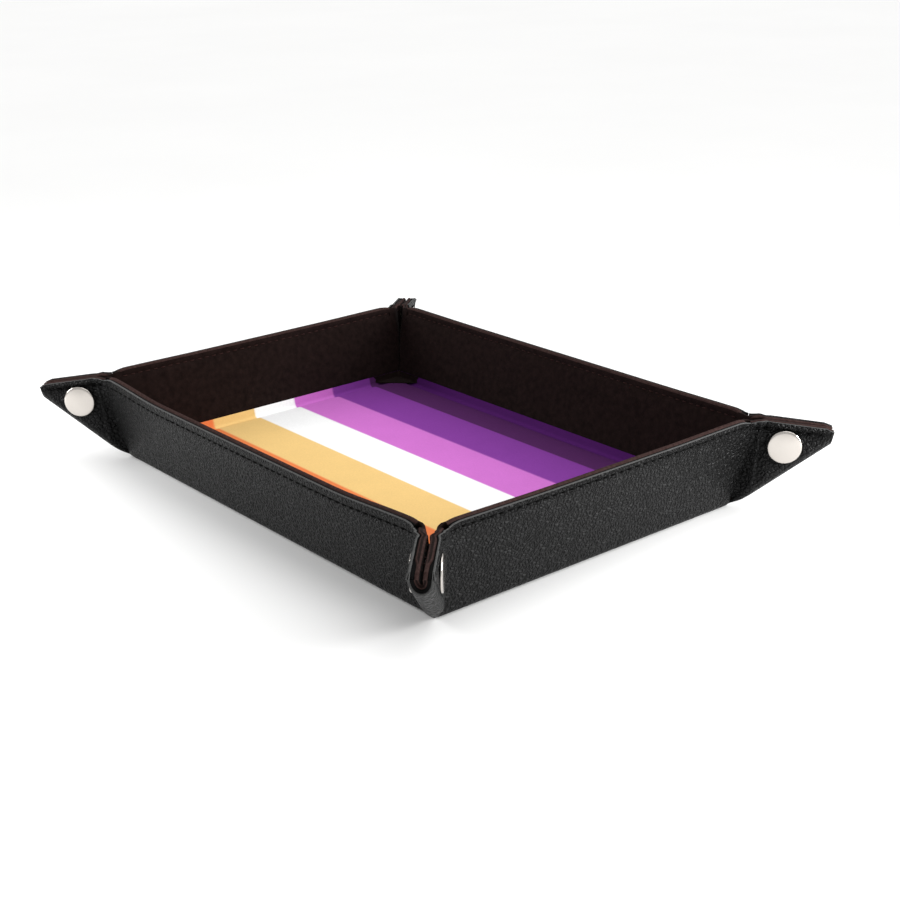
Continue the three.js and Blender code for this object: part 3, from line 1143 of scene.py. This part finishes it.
def groove_path():
    wall_up = (GROOVE_Z - LINING_FACE * SIN) / COS
    corner_out = wall_up * SIN - LINING_FACE * COS
    run = GROOVE_BEND * math.tan((math.pi / 2 - LEAN) / 2)
    center_out, center_z = corner_out - run, GROOVE_Z + GROOVE_BEND
    points = [(-FOLD_MARGIN - UNDER_FLOOR, GROOVE_Z), (-FOLD_MARGIN, GROOVE_Z)]
    for turn in np.linspace(-math.pi / 2, -LEAN, GROOVE_STEPS):
        out, z = GROOVE_BEND * math.cos(turn), GROOVE_BEND * math.sin(turn)
        points.append((center_out + out, center_z + z))
    for up in (wall_up + run + 1.0, PRINT_TOP, PRINT_TOP + 0.5):
        points.append((up * SIN - LINING_FACE * COS, up * COS + LINING_FACE * SIN))
    return np.array(points)


def make_groove_strip(wall):
    path = groove_path()
    heading = np.gradient(path, axis=0)
    heading /= np.linalg.norm(heading, axis=1)[:, None]
    under = path + np.stack([heading[:, 1], -heading[:, 0]], axis=1) * STRIP_THICKNESS
    shares = np.concatenate([[-1.0], fill([-0.985, 0.985], 0.05), [1.0]])

    def layer(points):
        out, share = np.meshgrid(points[:, 0], shares, indexing="ij")
        z = points[:, 1][:, None] + 0 * share
        return on_wall(wall, share * (wall.half + out - PLANE_GAP), out, z)

    strip = shell_from_grids(wall.name + "_printed_foot", layer(path), layer(under), [printed_cloth])
    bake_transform(strip)
    return strip


groove_strips = [make_groove_strip(wall) for wall in WALLS]
print("groove strips", len(groove_strips))

# %% [markdown]
# ## Corner patches
# The printed cloth stops short of each corner, where the brown lining comes down from the
# ear. A thin gusset of suede with a snipped edge runs down the corner, bridges the groove,
# and lies on the printed floor. A flat cut-out would float over the groove, so it is a grid
# that lifts at its tip and sides, and a zigzag of SNIPS moves its free edge.


# %% Corner patches
PATCH_TIP = -3.1
PATCH_BACK = -13.2
PATCH_RISE = 2.6
PATCH_RIDGE = 0.2
PATCH_FLAT = 0.8
PATCH_CLEAR = 0.34
PATCH_GAP = 0.12
PATCH_THICKNESS = 0.3
PATCH_STEPS = np.array([0.0, 0.06, 0.12, 0.18, 0.24, 0.32, 0.45, 0.6, 0.8, 1.0])
SNIP = 0.6
SNIPS = 11


def make_patch(corner):
    shares = np.linspace(-1.0, 1.0, SNIPS * 4 + 1)
    step, share = np.meshgrid(PATCH_STEPS, shares, indexing="ij")
    snipped = SNIP * np.abs((share * SNIPS) % 2.0 - 1.0)
    s = PATCH_TIP + (PATCH_BACK + snipped - PATCH_TIP) * step
    run = np.abs(share)
    ridge_lift = 1 - ease(step / PATCH_RIDGE)
    side_lift = np.clip((run - PATCH_FLAT) / (1 - PATCH_FLAT), 0.0, 1.0)
    z = FLOOR_TOP + PATCH_CLEAR + PATCH_RISE * np.maximum(ridge_lift, side_lift)
    wall_out = (z - LINING_FACE * SIN) / COS * SIN - LINING_FACE * COS
    reach = np.maximum(-s + math.sqrt(2) * (wall_out - PATCH_GAP), 0.05)
    q = np.sign(share) * np.clip(run / PATCH_FLAT, 0.0, 1.0) * reach
    top = corner.place(1, s, q, z)
    bottom = corner.place(1, s, q, z - PATCH_THICKNESS)
    patch = shell_from_grids(corner.name + "_corner_patch", top, bottom, [suede])
    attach(patch, "base")
    return patch


patches = [make_patch(corner) for corner in CORNERS]
print("corner patches", len(patches))

# %% [markdown]
# ## Stitching
# A lockstitch shows as short rounded lengths of thread, each diving into the sheet at both
# ends. A painted line of dashes would look flat at the rim, so every length is a small
# bowed tube lying in the groove that the thread has pulled. One mesh holds a whole row, and
# it rides with the panel that it is sewn into.


# %% Stitch helper
STITCH_LENGTH = 2.6
THREAD_RADIUS = 0.52
THREAD_LIFT = 0.26
THREAD_DIVE = 0.6
STATIONS = np.array([-1.0, -0.86, -0.5, 0.0, 0.5, 0.86, 1.0])
AROUND = 8


def join_rings(shell, rings):
    for low, high in zip(rings, rings[1:]):
        for k in range(len(low)):
            m = (k + 1) % len(low)
            shell.faces.new((low[k], low[m], high[m], high[k]))


def add_tube(shell, middle, heading, normal, thread):
    side = np.cross(heading, normal)
    rings = []
    for station in STATIONS:
        lift = normal * (THREAD_LIFT - THREAD_DIVE * station ** 2)
        center = middle + heading * station * STITCH_LENGTH / 2 + lift
        radius = thread * math.sqrt(max(1 - station ** 4, 0.02))
        ring = []
        for turn in np.arange(AROUND) * 2 * math.pi / AROUND:
            spoke = math.cos(turn) * side + math.sin(turn) * normal
            ring.append(shell.verts.new((center + radius * spoke) * MM))
        rings.append(ring)
    join_rings(shell, rings)
    shell.faces.new(rings[0][::-1])
    shell.faces.new(rings[-1])


def make_stitches(name, points, normal, finish, body, slot, thread):
    shell = bmesh.new()
    headings = np.gradient(points, axis=0)
    headings /= np.linalg.norm(headings, axis=1)[:, None]
    for middle, heading in zip(points, headings):
        add_tube(shell, middle, heading, normal, thread)
    row = finish_mesh(name, shell, [finish])
    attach(row, body)
    return row


print("a stitch is", STITCH_LENGTH, "mm long")


# %% Wall stitches
OUTER_PITCH = 3.8
INNER_PITCH = 3.5
OUTER_MARGIN, INNER_MARGIN = 1.6, 2.2
WALL_INNER_THREAD = 0.26


def wall_stitch_line(wall, margin, pitch, up, depth):
    count = int(round(2 * (wall.half - margin) / pitch))
    along = ((np.arange(count) + 0.5) / count * 2 - 1) * (wall.half - margin)
    return on_wall(wall, along, up * SIN - depth * COS, up * COS + depth * SIN)


for wall in WALLS:
    up = wall_height - wall.inset
    points = wall_stitch_line(wall, OUTER_MARGIN, OUTER_PITCH, up, GROOVE_DEPTH)
    parts = (black_thread, wall.name, "outer_leather", THREAD_RADIUS)
    make_stitches(wall.name + "_outer_stitches", points, -wall.inward, *parts)
    up, depth = wall_height - LINING_INSET, LINING_FACE - GROOVE_DEPTH
    points = wall_stitch_line(wall, INNER_MARGIN, INNER_PITCH, up, depth)
    parts = (brown_thread, wall.name, "wall_suede", WALL_INNER_THREAD)
    make_stitches(wall.name + "_inner_stitches", points, wall.inward, *parts)
print("wall stitch rows", 2 * len(WALLS))


# %% Ear stitches
EAR_INNER_THREAD = 0.2
EAR_STITCHES = (
    ("_outer_stitches", GROOVE_DEPTH * 0.8, 1, black_thread, "outer_leather", THREAD_RADIUS),
    ("_inner_stitches", 3.3, -1, brown_thread, "wall_suede", EAR_INNER_THREAD),
)


def ear_stitch_line():
    top, tip = upper_edge(np.array([0.0, 1.0]))
    heading = (tip - top) / np.linalg.norm(tip - top)
    inward = np.array([heading[1], -heading[0]])
    first = top + inward * EAR_INSET + heading * OUTER_MARGIN
    last = tip + inward * EAR_INSET - heading * (EAR_INSET + 0.4)
    count = int(round(np.linalg.norm(last - first) / OUTER_PITCH))
    shares = (np.arange(count) + 0.5) / count
    line = first + (last - first) * shares[:, None]
    return line[:, 0], line[:, 1]


s, z = ear_stitch_line()
for corner in CORNERS:
    for side, leaf, _, _ in corner.leaves:
        for title, depth, away, finish, slot, thread in EAR_STITCHES:
            points = corner.place(side, s, leaf_face(s, z) - depth, z)
            normal = corner.across * side * away
            make_stitches(leaf + title, points, normal, finish, leaf, slot, thread)
print("ear stitch rows", 2 * len(EAR_STITCHES) * len(CORNERS))

# %% [markdown]
# ## Press snaps
# Each snap is two domed caps on the outside of the ear and, between the leaves, a stud that
# clicks into a socket. They are turned parts. A Screw modifier could spin them, but here
# each profile, a list of radii and heights in millimetres, is spun in place on its ear.
# Close points where the metal curls over keep the rim of a cap round.


# %% Snap helper
SNAP_REACH = 17.6
SNAP_HEIGHT = 25.2
SNAP_SEGMENTS = 64
CAP_PROFILE = [(0, 2.9), (1.5, 2.9), (1.5, 4.25), (5.8, 4.25), (6.12, 4.36), (6.25, 4.6)]
CAP_PROFILE += [(6.2, 4.86), (5.98, 5.06), (5.6, 5.17), (5.0, 5.24), (4.2, 5.33), (3.2, 5.43)]
CAP_PROFILE += [(2.1, 5.52), (1.0, 5.58), (0, 5.6)]
PLATE_PROFILE = [(0, 2.6), (4.3, 2.6), (4.6, 2.3)]
STUD_PROFILE = PLATE_PROFILE + [(4.6, 0.75), (4.4, 0.5), (3.6, 0.42), (2.3, 0.5), (1.6, 0.3)]
STUD_PROFILE += [(1.5, 0.0), (1.85, -0.35), (1.75, -0.85), (1.2, -1.15), (0, -1.2)]
SOCKET_PROFILE = PLATE_PROFILE + [(4.6, 0.6), (4.35, 0.34), (3.7, 0.3), (3.1, 0.42)]
SOCKET_PROFILE += [(2.75, 0.7), (2.5, 1.1), (2.5, 1.8), (0, 1.9)]


def make_turned(name, profile, corner, side, leaf, node):
    shell = bmesh.new()
    center = corner.place(side, SNAP_REACH, 0.0, SNAP_HEIGHT)
    outward = side * corner.across
    rings = []
    for radius, height in profile:
        ring = []
        for turn in np.arange(SNAP_SEGMENTS) * 2 * math.pi / SNAP_SEGMENTS:
            spoke = math.cos(turn) * corner.diagonal + math.sin(turn) * UP
            ring.append(shell.verts.new((center + spoke * radius + outward * height) * MM))
        rings.append(ring)
    join_rings(shell, rings)
    piece = finish_mesh(name, shell, [nickel])
    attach(piece, leaf)
    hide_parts(node)
    return piece


for corner in CORNERS:
    for side, leaf, _, kind in corner.leaves:
        inner_profile = STUD_PROFILE if kind == "stud" else SOCKET_PROFILE
        cap, snap = f"{corner.name}_{kind}_cap", f"{corner.name}_snap_{kind}"
        make_turned(cap + "_turned", CAP_PROFILE, corner, side, leaf, cap)
        make_turned(snap + "_turned", inner_profile, corner, side, leaf, snap)
print("snaps", len(CORNERS))

# %% [markdown]
# ## Base board
# The stiff board of the base is closed in between the underside and the floor. Its packed
# solid already has the right shape, so it only gets a board finish.

# %% Base board
base_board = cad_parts["base_board"].data
base_board.materials.clear()
base_board.materials.append(board)
print("base board finished with", board.name)

# %% [markdown]
# ## Stage, light and camera
# The tray stands on a wide pale floor under a bright, even sky, which a plain world colour
# gives with no pattern to mirror in the snaps. The sky alone would leave soft shadows with
# no direction, so lamps come next.


# %% Stage
SKY_STRENGTH = 0.655
FLOOR_LOW = (0.93, 0.93, 0.925)
FLOOR_HIGH = (0.95, 0.95, 0.945)
def make_stage():
    finish, shader = start_finish("pale_floor")
    tone = ramp(finish, noise(finish, 4.0), [(0.3, FLOOR_LOW), (0.7, FLOOR_HIGH)])
    wire(finish, tone, shader.inputs["Base Color"])
    shader.inputs["Roughness"].default_value = 0.9
    shader.inputs["Specular IOR Level"].default_value = 0.1
    bpy.ops.mesh.primitive_plane_add(size=14.0, location=(0, 0, 0))
    stage = bpy.context.object
    stage.name = "studio_floor"
    stage.data.materials.append(finish)
    return stage


stage = make_stage()
world = bpy.data.worlds.new("studio_sky")
world.use_nodes = True
sky = world.node_tree.nodes["Background"].inputs
sky["Color"].default_value = (1.0, 1.0, 1.0, 1.0)
sky["Strength"].default_value = SKY_STRENGTH
bpy.context.scene.world = world
bpy.context.scene.view_settings.view_transform = "Standard"
print("stage and sky ready")

# %% [markdown]
# ### Lamps
# Black leather shows its grain only where something bright is mirrored in it. One wide soft
# sun shines from above and behind, and two small panels low at the sides pick out the
# pebbles on the outer faces.


# %% Lamps
def add_sun(name, toward, strength, softness):
    data = bpy.data.lights.new(name, "SUN")
    data.energy = strength
    data.angle = math.radians(softness)
    lamp = bpy.data.objects.new(name, data)
    lamp.rotation_euler = Vector(toward).to_track_quat("Z", "Y").to_euler()
    bpy.context.scene.collection.objects.link(lamp)
    return lamp


def add_panel(name, location, target, size, power):
    data = bpy.data.lights.new(name, "AREA")
    data.shape = "SQUARE"
    data.size = size
    data.energy = power
    lamp = bpy.data.objects.new(name, data)
    lamp.location = location
    lamp.rotation_euler = (Vector(location) - Vector(target)).to_track_quat("Z", "Y").to_euler()
    bpy.context.scene.collection.objects.link(lamp)
    return lamp


add_sun("soft_overhead", (0.25, 0.45, 1.0), 1.35, 60.0)
add_panel("left_side_panel", (-0.26, -0.25, 0.14), (-0.10, -0.07, 0.02), 0.14, 0.66)
add_panel("right_side_panel", (0.33, 0.26, 0.12), (0.10, 0.07, 0.02), 0.14, 1.7)
print("lamps", [light.name for light in bpy.data.lights])

# %% [markdown]
# ### Camera
# The camera looks down on the front right corner with a medium lens. Its direction is kept
# as an azimuth and an elevation, and a quaternion adds a slight roll about that direction.

# %% Camera
AZIMUTH, ELEVATION, ROLL = (math.radians(angle) for angle in (50.94, 20.56, -1.28))
camera_data = bpy.data.cameras.new("tray_camera")
camera_data.lens = 62.9
camera_data.sensor_width = 36.0
camera_data.clip_start = 0.01
camera = bpy.data.objects.new("tray_camera", camera_data)
camera.location = (0.4524, -0.3490, 0.2264)
back = Vector(
    (
        math.sin(AZIMUTH) * math.cos(ELEVATION),
        -math.cos(AZIMUTH) * math.cos(ELEVATION),
        math.sin(ELEVATION),
    )
)
camera.rotation_mode = "QUATERNION"
look = back.to_track_quat("Z", "Y")
look.rotate(Quaternion(back, ROLL))
camera.rotation_quaternion = look
bpy.context.scene.collection.objects.link(camera)
bpy.context.scene.camera = camera
print("camera looks from", [round(value, 3) for value in camera.location])

# %% Finish
bpy.context.view_layer.update()
